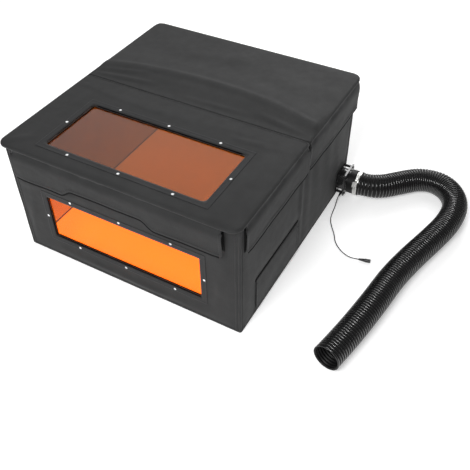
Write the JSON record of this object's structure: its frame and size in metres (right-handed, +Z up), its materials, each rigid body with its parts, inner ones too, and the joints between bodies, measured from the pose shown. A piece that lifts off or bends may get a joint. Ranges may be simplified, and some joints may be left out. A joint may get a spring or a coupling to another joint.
{
  "type": "laser cutter enclosure",
  "caption": "Folding fabric-covered enclosure for a desktop laser cutter, with amber windows, a fold-back lid, skirt flaps, a cable port, an exhaust fan and a duct hose.",
  "frame": {"origin": "on the table, at the centre of the bay that the walls stand round", "axes": "+X to the right along the front, +Y from the front to the back, +Z up"},
  "size_m": [1.1031, 0.842, 0.3786],
  "materials": {
    "cover_fabric": "matte coated cloth",
    "binding_tape": "woven tape",
    "stiffener_board": "twin-wall sheet",
    "silver_lining": "aluminised cloth",
    "hook_tape": "hook and loop",
    "amber_acrylic": "clear amber",
    "window_frame": "moulded",
    "white_rivet": "gloss",
    "fan_plastic": "satin",
    "circuit_board": "lacquered",
    "motor_iron": "varnished",
    "magnet": "sintered",
    "steel": "brushed",
    "black_steel": "satin black",
    "clamp_steel": "polished",
    "hose_skin": "gloss",
    "lead_rubber": "satin"
  },
  "bodies": {
    "enclosure": {"front_wall_cover": "cover_fabric", "back_wall_cover": "cover_fabric", "left_wall_cover": "cover_fabric", "right_wall_cover": "cover_fabric", "rear_lid_cover": "cover_fabric", "rear_skirt": "cover_fabric", "corner_bindings": "binding_tape", "base_binding": "binding_tape", "rim_binding": "binding_tape", "rear_lid_binding": "binding_tape", "fold_piping": "binding_tape", "port_hinge_piping": "binding_tape", "front_wall_board": "stiffener_board", "back_wall_board": "stiffener_board", "left_wall_front_board": "stiffener_board", "left_wall_rear_board": "stiffener_board", "right_wall_front_board": "stiffener_board", "right_wall_rear_board": "stiffener_board", "rear_lid_board": "stiffener_board", "front_wall_lining": "silver_lining", "back_wall_lining": "silver_lining", "left_wall_lining": "silver_lining", "right_wall_lining": "silver_lining", "rear_lid_lining": "silver_lining", "wall_loop_tapes": "hook_tape", "front_window_pane": "amber_acrylic", "front_window_retainer": "window_frame", "front_window_rivets": "white_rivet", "fan_frame": "fan_plastic", "duct_adapter": "fan_plastic", "fan_inner_plate": "fan_plastic", "fan_circuit_board": "circuit_board", "fan_stator": "motor_iron", "fan_bearings": "steel", "fan_guard": "black_steel", "fan_screws": "black_steel", "fan_nuts": "black_steel", "hose_clamp_band": "clamp_steel", "hose_clamp_housing": "clamp_steel", "exhaust_hose": "hose_skin", "fan_lead": "lead_rubber", "lead_strain_relief": "lead_rubber", "fan_lead_socket": "lead_rubber"},
    "front_lid": {"front_lid_cover": "cover_fabric", "front_lid_board": "stiffener_board", "front_lid_lining": "silver_lining", "front_lid_binding": "binding_tape", "lid_window_pane": "amber_acrylic", "lid_window_retainer": "window_frame", "lid_window_rivets": "white_rivet"},
    "front_flap": {"front_flap": "cover_fabric", "front_flap_hook_tapes": "hook_tape"},
    "right_flap": {"right_flap": "cover_fabric"},
    "left_flap": {"left_flap": "cover_fabric"},
    "port_flap": {"port_flap": "cover_fabric"},
    "fan_rotor": {"fan_impeller": "fan_plastic", "fan_magnet_ring": "magnet", "fan_shaft": "steel"},
    "clamp_screw": {"hose_clamp_screw": "clamp_steel"}
  },
  "joints": [
    {"name": "lid_fold", "type": "hinge", "parent": "enclosure", "child": "front_lid", "pos_m": [0, 0.0065, 0.3775], "axis": [-1, 0, 0], "range_deg": [0, 170]},
    {"name": "front_flap_lift", "type": "hinge", "parent": "front_lid", "child": "front_flap", "pos_m": [0, -0.3743, 0.371], "axis": [-1, 0, 0], "range_deg": [0, 160]},
    {"name": "right_flap_lift", "type": "hinge", "parent": "front_lid", "child": "right_flap", "pos_m": [0.3573, -0.164, 0.371], "axis": [0, -1, 0], "range_deg": [0, 160]},
    {"name": "left_flap_lift", "type": "hinge", "parent": "front_lid", "child": "left_flap", "pos_m": [-0.3573, -0.164, 0.371], "axis": [0, 1, 0], "range_deg": [0, 160]},
    {"name": "port_flap_lift", "type": "hinge", "parent": "enclosure", "child": "port_flap", "pos_m": [0.3515, -0.1495, 0.1248], "axis": [0, -1, 0], "range_deg": [0, 165]},
    {"name": "fan_spin", "type": "hinge", "parent": "enclosure", "child": "fan_rotor", "pos_m": [0.3625, 0.302, 0.046], "axis": [1, 0, 0], "continuous": true},
    {"name": "clamp_screw_turn", "type": "hinge", "parent": "enclosure", "child": "clamp_screw", "pos_m": [0.412, 0.2629, 0.06857], "axis": [0, 0.5, 0.866], "continuous": true}
  ]
}
